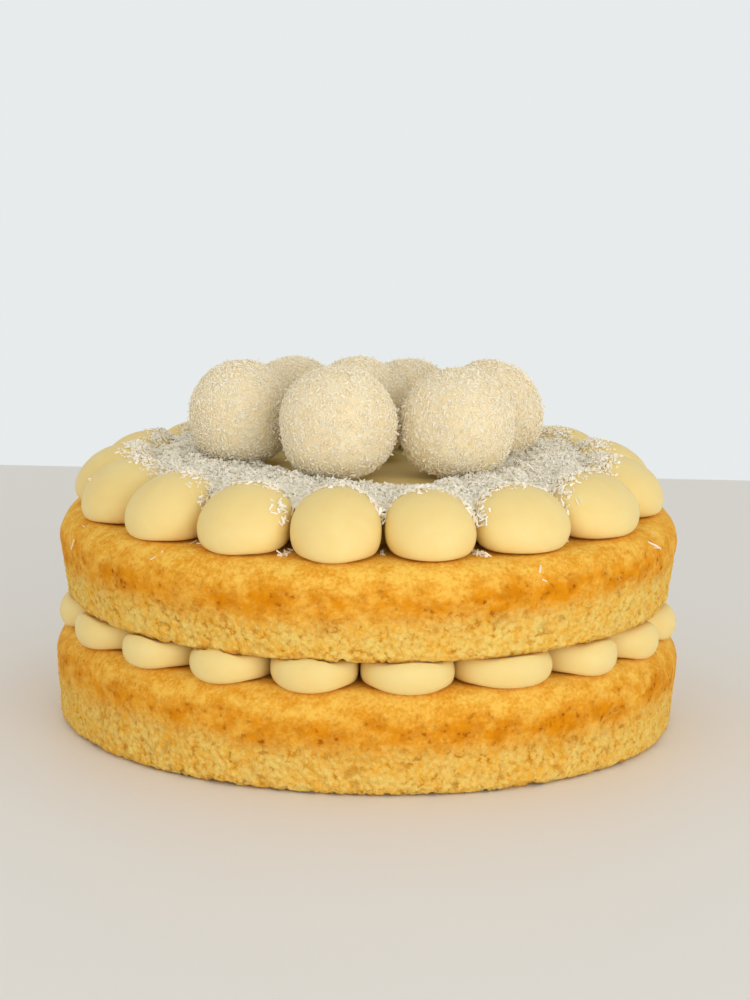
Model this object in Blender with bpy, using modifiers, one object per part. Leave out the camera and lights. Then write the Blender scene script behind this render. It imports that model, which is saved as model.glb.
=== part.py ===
"""Round layer cake: two sponges, piped frosting rounds, a coconut ring and seven coconut balls.

Metres, +Z up. The origin is the middle of the lower sponge's underside, and the front faces -Y.
"""

import math
import random
from typing import NamedTuple

import bmesh
import bpy
from mathutils import Matrix, Vector

# Driving dimensions
GAP = 0.0003  # between pieces that touch
CAKE_RADIUS = 0.100
LOWER_HEIGHT = 0.030
FILLING_HEIGHT = 0.0097
UPPER_HEIGHT = 0.0285
UPPER_RADIUS = 0.0986
LEAN_FORWARD = math.radians(1.3)  # of the upper layer and all on it, about the sponge's underside
LEAN_LEFT = math.radians(0.5)
FROSTING_HEIGHT = 0.0126
BALL_FLATNESS = 0.95  # height over width, as soft balls settle

# Levels
FILLING_FLOOR = LOWER_HEIGHT
UPPER_FLOOR = FILLING_FLOOR + FILLING_HEIGHT
UPPER_TOP = UPPER_FLOOR + UPPER_HEIGHT
FROSTING_TOP = UPPER_TOP + FROSTING_HEIGHT

# A sponge's side: it leans out from its foot to its widest, then rounds over a shoulder
SHOULDER_REACH = 0.009
SHOULDER_DROP = 0.0095
FOOT_ROUNDING = 0.0025
LOWER_FOOT_RADIUS = 0.0986
UPPER_FOOT_RADIUS = 0.0962
SHOULDER_POINTS = 4
FOOT_POINTS = 2

# Frosting between the sponges and on top
FILLING_RADIUS = 0.073
FROSTING_RADIUS = 0.068
FROSTING_EDGE_ROUNDING = 0.003
ROUND_UNEVENNESS = 0.05  # share by which hand-piped rounds differ in size

# Desiccated coconut strewn between the balls and over the inner sides of the rounds
COCONUT_INNER_RADIUS = 0.050
COCONUT_OUTER_RADIUS = 0.073
COCONUT_CREST = 0.0048
COCONUT_DEPTH = 0.003  # of the bank's middle below the frosting's surface
COCONUT_UNEVENNESS = 0.012  # of the clumps, whose usual height is a fifth of it
COCONUT_CLUMP = 0.009
COCONUT_POINTS = 5

# Coconut balls on the frosting: across, back, height of the middle, greatest radius
BALLS = {
    "ball_left": (-0.0410, -0.006, 0.0966, 0.0170),
    "ball_front_left": (-0.0104, -0.030, 0.0971, 0.0182),
    "ball_front_right": (0.0263, -0.024, 0.0969, 0.0178),
    "ball_right": (0.0382, 0.014, 0.0956, 0.0175),
    "ball_rear_left": (-0.0260, 0.035, 0.0947, 0.0165),
    "ball_middle": (-0.0045, 0.006, 0.0969, 0.0174),
    "ball_rear_right": (0.0118, 0.038, 0.0941, 0.0166),
}

# Fineness of the facets
TURN_STEPS = 44
FROSTING_STEPS = 36
BALL_SEGMENTS = 14
BALL_RINGS = 8
ROOM_POINTS = 4
CREASE_ANGLE = math.radians(50)
MERGE_DISTANCE = 0.00001
SEED = 11

# Colour and roughness of each substance
SPONGE_LOOK = ((0.72, 0.38, 0.07), 0.85)
FROSTING_LOOK = ((0.85, 0.68, 0.30), 0.40)
COCONUT_LOOK = ((0.86, 0.78, 0.58), 0.90)


class Piping(NamedTuple):
    """A ring of piped rounds."""

    prefix: str
    count: int
    front_start: float  # degrees from the front, towards +X
    front_widths: tuple  # degrees that each of the front rounds takes
    front_sizes: tuple  # size of each of them as a share of the usual
    circle_radius: float  # of the circle through their middles
    height: float
    reach: float  # from a round's middle to its outer face
    half_height: float
    overlap: float  # how much wider a round would be if its neighbours didn't press it flat
    droop: float  # how far its lower part hangs outwards, as a share of the height
    plumpness: float  # 2 gives it an ellipse's outline, and more a fuller one
    segments: int
    rings: int


FILLING_PIPING = Piping(
    prefix="filling_round",
    count=20,
    front_start=-72,
    front_widths=(20, 17, 16.4, 17.2, 18.4, 20.3, 16.7, 17),
    front_sizes=(1.0, 1.0, 1.02, 1.02, 1.0, 0.98, 1.0, 1.0),
    circle_radius=0.0835,
    height=FILLING_FLOOR + 0.0038,
    reach=0.0155,
    half_height=0.0093,
    overlap=1.08,
    droop=0.0,
    plumpness=2.4,
    segments=10,
    rings=6,
)

TOP_PIPING = Piping(
    prefix="top_round",
    count=17,
    front_start=-78,
    front_widths=(22, 20, 20, 19, 19, 22, 25, 23),
    front_sizes=(1.05, 1.05, 1.06, 1.1, 1.02, 1.0, 1.0, 1.0),
    circle_radius=0.0803,
    height=UPPER_TOP + 0.0068,
    reach=0.0127,
    half_height=0.0107,
    overlap=1.03,
    droop=0.3,
    plumpness=2.0,
    segments=12,
    rings=6,
)


def clear_scene():
    """Remove every object of the scene."""
    for obj in list(bpy.data.objects):
        bpy.data.objects.remove(obj, do_unlink=True)


def make_collection(name):
    """A collection under the scene's own."""
    collection = bpy.data.collections.new(name)
    bpy.context.scene.collection.children.link(collection)
    return collection


def make_material(name, look):
    """A plain Principled material."""
    color, roughness = look
    material = bpy.data.materials.new(name)
    material.use_nodes = True
    shader = material.node_tree.nodes["Principled BSDF"]
    shader.inputs["Base Color"].default_value = (*color, 1.0)
    shader.inputs["Roughness"].default_value = roughness
    shader.inputs["Metallic"].default_value = 0.0
    return material


def make_lean():
    """The empty that everything above the filling leans with."""
    lean = bpy.data.objects.new("upper_lean", None)
    bpy.context.scene.collection.objects.link(lean)
    lean.location.z = UPPER_FLOOR
    lean.rotation_euler = (LEAN_FORWARD, -LEAN_LEFT, 0.0)
    return lean


def lean_with(lean, obj):
    """Let an object that is placed upright lean with the upper layer."""
    obj.parent = lean
    obj.location.z -= UPPER_FLOOR


def add_object(name, mesh, collection, material):
    """An object of this mesh, or a hidden cutter where there is no material."""
    obj = bpy.data.objects.new(name, mesh)
    collection.objects.link(obj)
    if material:
        mesh.materials.append(material)
    else:
        obj.hide_render = True
        obj.display_type = "WIRE"
    return obj


def turned(name, profile, collection, material, steps=TURN_STEPS, closed=False):
    """A body of revolution. Its profile (radius, height) runs from the top down its outer side."""
    count = len(profile)
    edges = [(i, (i + 1) % count) for i in range(count if closed else count - 1)]
    mesh = bpy.data.meshes.new(name)
    mesh.from_pydata([(radius, 0.0, height) for radius, height in profile], edges, [])
    obj = add_object(name, mesh, collection, material)
    screw = obj.modifiers.new("Turn", "SCREW")
    screw.axis = "Z"
    screw.angle = math.tau
    screw.steps = steps
    screw.render_steps = steps
    screw.use_merge_vertices = True
    screw.merge_threshold = MERGE_DISTANCE
    screw.use_smooth_shade = True
    return obj


def boolean(obj, other, operation):
    """A live Boolean with another object, or with every object of a collection."""
    modifier = obj.modifiers.new(f"{operation.title()} {other.name}", "BOOLEAN")
    modifier.operation = operation
    modifier.solver = "EXACT"
    if isinstance(other, bpy.types.Collection):
        modifier.operand_type = "COLLECTION"
        modifier.collection = other
    else:
        modifier.object = other


def quarter(centre, reach, rise, start, points):
    """Points along a quarter of an ellipse, from this angle clockwise."""
    step = math.pi / 2 / points
    angles = [start - i * step for i in range(points + 1)]
    return [(centre[0] + reach * math.cos(a), centre[1] + rise * math.sin(a)) for a in angles]


def shoulder(radius, top, grown):
    """The top's rounded rim, down to the widest place."""
    centre = (radius - SHOULDER_REACH, top - SHOULDER_DROP)
    return quarter(centre, SHOULDER_REACH + grown, SHOULDER_DROP + grown, math.pi / 2, SHOULDER_POINTS)


def foot(radius, bottom, grown):
    """The underside's rounded edge."""
    centre = (radius - FOOT_ROUNDING, bottom + FOOT_ROUNDING)
    return quarter(centre, FOOT_ROUNDING + grown, FOOT_ROUNDING + grown, 0.0, FOOT_POINTS)


def make_sponge(name, radius, foot_radius, bottom, height, grown, collection, material):
    """A baked layer, flat above and below, or a cutter of its shape grown on every side."""
    top = bottom + height
    rim = shoulder(radius, top, grown) + foot(foot_radius, bottom, grown)
    profile = [(0.0, top + grown)] + rim + [(0.0, bottom - grown)]
    return turned(name, profile, collection, material)


def make_lower_sponge(collection, material):
    """The layer that the cake stands on."""
    make_sponge(
        "sponge_lower", CAKE_RADIUS, LOWER_FOOT_RADIUS, 0.0, LOWER_HEIGHT, 0.0, collection, material
    )


def make_upper_sponge(name, grown, lean, collection, material):
    """The leaning layer on the filling, or its cutter."""
    obj = make_sponge(
        name, UPPER_RADIUS, UPPER_FOOT_RADIUS, UPPER_FLOOR, UPPER_HEIGHT, grown, collection, material
    )
    lean_with(lean, obj)
    return obj


def make_filling(upper_press, collection, material):
    """The frosting that runs through the cake between the sponges."""
    top = UPPER_FLOOR + UPPER_HEIGHT / 2
    bottom = FILLING_FLOOR + GAP
    profile = [(0.0, top), (FILLING_RADIUS, top), (FILLING_RADIUS, bottom), (0.0, bottom)]
    obj = turned("filling_frosting", profile, collection, material)
    boolean(obj, upper_press, "DIFFERENCE")


def filling_room(upper_press, cutters):
    """The space that the squeezed rounds fill: outside the filling and between the sponges."""
    outer = FILLING_PIPING.circle_radius + 2 * FILLING_PIPING.reach
    inner = FILLING_RADIUS + GAP
    ceiling = UPPER_FLOOR + UPPER_HEIGHT / 2
    below = list(reversed(shoulder(CAKE_RADIUS, LOWER_HEIGHT, GAP)))
    floor = [(outer, below[0][1])] + below + [(inner, LOWER_HEIGHT + GAP)]
    profile = [(inner, ceiling), (outer, ceiling)] + floor
    room = turned("filling_room", profile, cutters, None, closed=True)
    boolean(room, upper_press, "DIFFERENCE")
    return room


def topping_room(lean, cutters):
    """The space that the rounds on top fill: outside the frosting and above the upper sponge."""
    outer = TOP_PIPING.circle_radius + 2 * TOP_PIPING.reach
    inner = FROSTING_RADIUS + GAP
    ceiling = FROSTING_TOP + TOP_PIPING.half_height
    below = list(reversed(shoulder(UPPER_RADIUS, UPPER_TOP, GAP)))
    floor = [(outer, below[0][1])] + below + [(inner, UPPER_TOP + GAP)]
    profile = [(inner, ceiling), (outer, ceiling)] + floor
    room = turned("topping_room", profile, cutters, None, closed=True)
    lean_with(lean, room)
    return room


def trim(bm, point, normal):
    """Cut off what lies past a plane and close the cut with one flat face."""
    geometry = bm.verts[:] + bm.edges[:] + bm.faces[:]
    cut = bmesh.ops.bisect_plane(
        bm, geom=geometry, plane_co=point, plane_no=normal, clear_outer=True
    )
    rim = [item for item in cut["geom_cut"] if isinstance(item, bmesh.types.BMEdge)]
    bmesh.ops.edgeloop_fill(bm, edges=rim)


def make_round(name, piping, width, size, room, collection, material):
    """One piped round, pressed flat where it meets its neighbours, at +X before it is turned."""
    half_angle = math.radians(width / 2)
    half_width = piping.circle_radius * math.sin(half_angle) * piping.overlap
    middle = (piping.circle_radius, 0.0, piping.height)
    bm = bmesh.new()
    bmesh.ops.create_uvsphere(
        bm, u_segments=piping.segments, v_segments=piping.rings, radius=1.0
    )
    for vert in bm.verts:
        vert.co *= sum(abs(part) ** piping.plumpness for part in vert.co) ** (-1 / piping.plumpness)
    form = (piping.reach * size, half_width, piping.half_height * size)
    bmesh.ops.scale(bm, vec=form, verts=bm.verts[:])
    hang = Matrix(((1.0, 0.0, -piping.droop), (0.0, 1.0, 0.0), (0.0, 0.0, 1.0)))
    bmesh.ops.transform(bm, matrix=hang.to_4x4(), verts=bm.verts[:])
    bmesh.ops.translate(bm, vec=middle, verts=bm.verts[:])
    for side in (-1, 1):
        normal = Matrix.Rotation(side * half_angle, 3, "Z") @ Vector((0.0, side, 0.0))
        trim(bm, -normal * GAP / 2, normal)
    mesh = bpy.data.meshes.new(name)
    bm.to_mesh(mesh)
    bm.free()
    mesh.shade_smooth()
    mesh.set_sharp_from_angle(angle=CREASE_ANGLE)
    obj = add_object(name, mesh, collection, material)
    boolean(obj, room, "INTERSECT")
    return obj


def widths_of(piping):
    """Degrees that each round takes: the front ones by hand, the others sharing what is left."""
    rest = piping.count - len(piping.front_widths)
    each = (360 - sum(piping.front_widths)) / rest
    return list(piping.front_widths) + [each] * rest


def sizes_of(piping):
    """Size of each round as a share of the usual: the front ones by hand, the others by chance."""
    chance = random.Random(SEED)
    rest = piping.count - len(piping.front_sizes)
    others = [1 + chance.uniform(-ROUND_UNEVENNESS, ROUND_UNEVENNESS) for _ in range(rest)]
    return list(piping.front_sizes) + others


def make_piping(piping, room, collection, material, lean=None):
    """A ring of piped rounds, side by side and not quite alike, leaning with the upper layer or not."""
    edge = piping.front_start
    for number, (width, size) in enumerate(zip(widths_of(piping), sizes_of(piping)), 1):
        name = f"{piping.prefix}_{number:02d}"
        obj = make_round(name, piping, width, size, room, collection, material)
        obj.rotation_euler.z = math.radians(edge + width / 2 - 90)
        if lean:
            lean_with(lean, obj)
        edge += width


def make_ball(name, place, radius, grown, collection, material):
    """A rolled ball, a little flatter than it is wide."""
    bm = bmesh.new()
    bmesh.ops.create_uvsphere(bm, u_segments=BALL_SEGMENTS, v_segments=BALL_RINGS, radius=1.0)
    size = Vector((radius, radius, radius * BALL_FLATNESS)) + Vector((grown, grown, grown))
    bmesh.ops.scale(bm, vec=size, verts=bm.verts[:])
    mesh = bpy.data.meshes.new(name)
    bm.to_mesh(mesh)
    bm.free()
    mesh.shade_smooth()
    add_object(name, mesh, collection, material).location = place


def make_balls(collection, presses, material):
    """The seven balls, and in the presses' collection a slightly larger cutter for each."""
    for name, (across, back, height, radius) in BALLS.items():
        place = (across, back, height)
        make_ball(name, place, radius, 0.0, collection, material)
        make_ball(f"{name}_press", place, radius, GAP, presses, None)


def make_top_frosting(lean, presses, collection, material):
    """The spread frosting, dented where the balls sit in it."""
    size = FROSTING_EDGE_ROUNDING
    edge = quarter((FROSTING_RADIUS - size, FROSTING_TOP - size), size, size, math.pi / 2, FOOT_POINTS)
    bottom = UPPER_TOP + GAP
    profile = [(0.0, FROSTING_TOP)] + edge + [(FROSTING_RADIUS, bottom), (0.0, bottom)]
    obj = turned("top_frosting", profile, collection, material, steps=FROSTING_STEPS)
    lean_with(lean, obj)
    boolean(obj, presses, "DIFFERENCE")


def coconut_room(lean, cutters):
    """The space above the spread frosting and above the largest of the rounds on top."""
    floor = FROSTING_TOP + GAP
    largest = max(sizes_of(TOP_PIPING))
    reach = TOP_PIPING.reach * largest + GAP
    rise = TOP_PIPING.half_height * largest + GAP
    fullness = 2 / TOP_PIPING.plumpness
    last = math.acos(((floor - TOP_PIPING.height) / rise) ** (1 / fullness))
    flank = []
    for point in range(ROOM_POINTS + 1):
        angle = last * point / ROOM_POINTS
        above = rise * math.cos(angle) ** fullness
        inwards = reach * math.sin(angle) ** fullness + TOP_PIPING.droop * above
        flank.append((TOP_PIPING.circle_radius - inwards, TOP_PIPING.height + above))
    ceiling = FROSTING_TOP + TOP_PIPING.half_height
    inner = COCONUT_INNER_RADIUS / 2
    profile = [(inner, ceiling), (flank[0][0], ceiling)] + flank + [(inner, floor)]
    room = turned("coconut_room", profile, cutters, None, steps=FROSTING_STEPS, closed=True)
    lean_with(lean, room)
    return room


def make_coconut_ring(lean, presses, collection, cutters, material):
    """A strewn bank of coconut with an uneven crest, on the frosting and against its neighbours."""
    middle = (COCONUT_INNER_RADIUS + COCONUT_OUTER_RADIUS) / 2
    half = (COCONUT_OUTER_RADIUS - COCONUT_INNER_RADIUS) / 2
    sunk = FROSTING_TOP - COCONUT_DEPTH
    rise = COCONUT_CREST + COCONUT_DEPTH
    step = math.pi / COCONUT_POINTS
    angles = [math.pi - i * step for i in range(COCONUT_POINTS + 1)]
    profile = [(middle + half * math.cos(a), sunk + rise * math.sin(a)) for a in angles]
    obj = turned(
        "coconut_ring", profile, collection, material, steps=FROSTING_STEPS, closed=True
    )
    lean_with(lean, obj)
    texture = bpy.data.textures.new("coconut_clumps", "CLOUDS")
    texture.noise_scale = COCONUT_CLUMP
    clumps = obj.modifiers.new("Clumps", "DISPLACE")
    clumps.texture = texture
    clumps.texture_coords = "LOCAL"
    clumps.direction = "Z"
    clumps.strength = COCONUT_UNEVENNESS
    clumps.mid_level = 0.5
    obj.modifiers.new("Flat facets", "TRIANGULATE")
    boolean(obj, presses, "DIFFERENCE")
    boolean(obj, coconut_room(lean, cutters), "INTERSECT")


def main():
    """Build the whole cake."""
    clear_scene()
    cake = make_collection("layer_cake")
    cutters = make_collection("cutters")
    presses = make_collection("ball_presses")
    sponge = make_material("sponge", SPONGE_LOOK)
    frosting = make_material("frosting", FROSTING_LOOK)
    coconut = make_material("coconut", COCONUT_LOOK)
    lean = make_lean()
    make_lower_sponge(cake, sponge)
    make_upper_sponge("sponge_upper", 0.0, lean, cake, sponge)
    upper_press = make_upper_sponge("upper_press", GAP, lean, cutters, None)
    make_filling(upper_press, cake, frosting)
    make_piping(FILLING_PIPING, filling_room(upper_press, cutters), cake, frosting)
    make_piping(TOP_PIPING, topping_room(lean, cutters), cake, frosting, lean)
    make_balls(cake, presses, coconut)
    make_top_frosting(lean, presses, cake, frosting)
    make_coconut_ring(lean, presses, cake, cutters, coconut)


main()
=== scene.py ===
"""Dresses the round layer cake: baked sponges, piped frosting, coconut balls and strewn coconut.

Metres, +Z up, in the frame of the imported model. The front of the cake faces -Y, and angles are
measured from the front towards +X.
"""

import logging
import math
import random
from dataclasses import dataclass, field
from enum import Enum
from typing import Callable, Iterable, Optional

import bmesh
import bpy
import numpy as np
from mathutils import Euler, Matrix, Vector, noise
from mathutils.bvhtree import BVHTree


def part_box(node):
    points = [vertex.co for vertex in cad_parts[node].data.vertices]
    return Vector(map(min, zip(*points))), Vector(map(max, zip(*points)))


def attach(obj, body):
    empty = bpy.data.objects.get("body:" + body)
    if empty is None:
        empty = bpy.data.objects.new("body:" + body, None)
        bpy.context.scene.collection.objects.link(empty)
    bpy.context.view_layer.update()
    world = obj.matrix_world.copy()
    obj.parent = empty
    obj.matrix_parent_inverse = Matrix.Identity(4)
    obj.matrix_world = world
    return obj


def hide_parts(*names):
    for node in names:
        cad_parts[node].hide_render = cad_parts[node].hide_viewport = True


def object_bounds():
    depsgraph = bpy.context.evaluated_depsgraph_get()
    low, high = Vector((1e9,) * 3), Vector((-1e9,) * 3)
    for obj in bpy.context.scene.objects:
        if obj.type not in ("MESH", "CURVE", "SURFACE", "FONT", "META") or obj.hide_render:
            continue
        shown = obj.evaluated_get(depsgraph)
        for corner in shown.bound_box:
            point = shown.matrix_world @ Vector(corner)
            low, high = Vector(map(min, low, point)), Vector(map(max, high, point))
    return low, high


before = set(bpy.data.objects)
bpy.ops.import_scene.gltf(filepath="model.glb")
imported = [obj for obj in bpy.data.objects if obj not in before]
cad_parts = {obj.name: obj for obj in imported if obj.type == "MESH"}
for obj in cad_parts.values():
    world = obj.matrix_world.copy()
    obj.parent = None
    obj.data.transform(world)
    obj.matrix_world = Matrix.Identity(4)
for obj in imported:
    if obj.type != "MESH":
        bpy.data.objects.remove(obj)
CAD_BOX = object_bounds()

LOG = logging.getLogger("layer_cake")

BODY = "root"
MM = 0.001
TINY = 1e-7
MIX_FACTOR, MIX_A, MIX_B, MIX_COLOR = 0, 6, 7, 2  # sockets of a Mix node that mixes colours

Color = tuple[float, float, float, float]


class Slot(Enum):
    """The record's material slots."""

    SPONGE = "sponge"
    FROSTING = "frosting"
    COCONUT = "coconut"


# ---------------------------------------------------------------------------------------------
# Small helpers
# ---------------------------------------------------------------------------------------------


def linear(hex_code: str) -> Color:
    """Turn an sRGB hex colour into linear light.

    Args:
        hex_code: The colour as "#RRGGBB".

    Returns:
        Red, green, blue and an alpha of one.
    """
    channels = [int(hex_code[start : start + 2], 16) / 255 for start in (1, 3, 5)]
    light = [c / 12.92 if c <= 0.04045 else ((c + 0.055) / 1.055) ** 2.4 for c in channels]
    return (light[0], light[1], light[2], 1.0)


def add_node(tree: bpy.types.NodeTree, kind: str, settings: dict, inputs: Optional[dict] = None):
    """Add a shader node with its settings and links.

    Args:
        tree: The node tree that takes it.
        kind: The node's type, without "ShaderNode".
        settings: The node's properties by name.
        inputs: A socket to link or a value for each input, by the input's name or number.

    Returns:
        The new node.
    """
    node = tree.nodes.new(f"ShaderNode{kind}")
    for name, value in settings.items():
        setattr(node, name, value)
    for key, value in (inputs or {}).items():
        if isinstance(value, bpy.types.NodeSocket):
            tree.links.new(value, node.inputs[key])
        else:
            node.inputs[key].default_value = value
    return node


def new_material(name: str) -> tuple[bpy.types.Material, bpy.types.NodeTree]:
    """Start a material whose tree is empty.

    Args:
        name: The substance's common name.

    Returns:
        The material and its node tree.
    """
    material = bpy.data.materials.new(name)
    material.use_nodes = True
    material.node_tree.nodes.clear()
    return material, material.node_tree


def smooth_step(value: float, low: float, high: float) -> float:
    """How far value has come from low to high, eased, between 0 and 1."""
    share = min(1.0, max(0.0, (value - low) / (high - low)))
    return share * share * (3 - 2 * share)


def soft_least(value: float, limit: float, softness: float) -> float:
    """The value, held below a limit that it nears gently."""
    room = (limit - value) / softness
    if room > 20:
        return value
    if room < -20:
        return limit
    return limit - softness * math.log1p(math.exp(room))


def soft_most(value: float, limit: float, softness: float) -> float:
    """The value, held above a limit that it nears gently."""
    return -soft_least(-value, -limit, softness)


def angle_of(x: float, y: float) -> float:
    """Degrees from the front towards +X of a point round the cake's middle."""
    return math.degrees(math.atan2(x, -y))


def polar(radius: float, angle: float, height: float) -> Vector:
    """The point at this radius, at this angle in degrees from the front."""
    turn = math.radians(angle)
    return Vector((radius * math.sin(turn), -radius * math.cos(turn), height))


class RoundTable:
    """A value that changes with the angle round the cake, ready to be looked up."""

    def __init__(self, angles: list[float], values: list[float]) -> None:
        """Fill in the value at every whole degree.

        Args:
            angles: Where the value is given, in degrees.
            values: The values there.
        """
        self.values = np.interp(range(-180, 181), angles, values, period=360).tolist()

    def at(self, angle: float) -> float:
        """The value at an angle from -180 to 180 degrees."""
        low = min(359, int(angle + 180))
        share = angle + 180 - low
        return self.values[low] * (1 - share) + self.values[low + 1] * share


def spun(profile: list[tuple[float, float]], steps: int) -> bmesh.types.BMesh:
    """Turn a profile once round Z into a closed body.

    Args:
        profile: Radius and height of each point, from the top's middle to the underside's.
        steps: How many facets go round.

    Returns:
        The new bmesh, with its seam and poles merged and its faces out.
    """
    bm = bmesh.new()
    last = len(profile) - 1
    bmesh.ops.create_grid(bm, x_segments=steps, y_segments=last, size=0.5)
    seam = []
    for vert in bm.verts:
        turn = vert.co.x + 0.5
        radius, height = profile[round((vert.co.y + 0.5) * last)]
        if turn < TINY or turn > 1 - 1e-5 or radius == 0.0:
            seam.append(vert)
        vert.co = polar(radius, 360 * turn, height)
    bmesh.ops.remove_doubles(bm, verts=seam, dist=TINY)
    bmesh.ops.recalc_face_normals(bm, faces=bm.faces[:])
    bm.normal_update()
    return bm


def resampled(points: list[tuple[float, float]], spacing: float) -> list[tuple[float, float]]:
    """Walk a line of points at an even pace.

    Args:
        points: The line.
        spacing: The distance from one new point to the next.

    Returns:
        The new points, the first and last of the old ones included.
    """
    line = np.array(points)
    along = np.concatenate([[0.0], np.cumsum(np.linalg.norm(np.diff(line, axis=0), axis=1))])
    stops = np.linspace(0.0, along[-1], max(2, round(along[-1] / spacing) + 1))
    return [(float(np.interp(s, along, line[:, 0])), float(np.interp(s, along, line[:, 1]))) for s in stops]


def finished(
    name: str,
    bm: bmesh.types.BMesh,
    material: bpy.types.Material,
    replaces: Iterable[str] = (),
    smooth: bool = True,
) -> bpy.types.Object:
    """Make a shown piece of a bmesh, let it ride on the cake and hide what it stands for.

    Args:
        name: The piece's name.
        bm: Its shape, which is freed.
        material: Its finish.
        replaces: The CAD nodes that it stands for.
        smooth: Whether its faces are shaded smooth.

    Returns:
        The new object.
    """
    mesh = bpy.data.meshes.new(name)
    bm.to_mesh(mesh)
    bm.free()
    return placed(name, mesh, material, replaces, smooth)


def placed(
    name: str,
    mesh: bpy.types.Mesh,
    material: bpy.types.Material,
    replaces: Iterable[str] = (),
    smooth: bool = True,
) -> bpy.types.Object:
    """Make a shown piece of a mesh. Its arguments are those of finished, with a mesh for the bmesh.

    Returns:
        The new object.
    """
    if smooth:
        mesh.shade_smooth()
    else:
        mesh.shade_flat()
    mesh.materials.append(material)
    piece = bpy.data.objects.new(name, mesh)
    bpy.context.scene.collection.objects.link(piece)
    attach(piece, BODY)
    names = list(replaces)
    if names:
        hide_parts(*names)
    LOG.info("%s: %d faces", name, len(mesh.polygons))
    return piece


# ---------------------------------------------------------------------------------------------
# Finishes
# ---------------------------------------------------------------------------------------------


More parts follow.
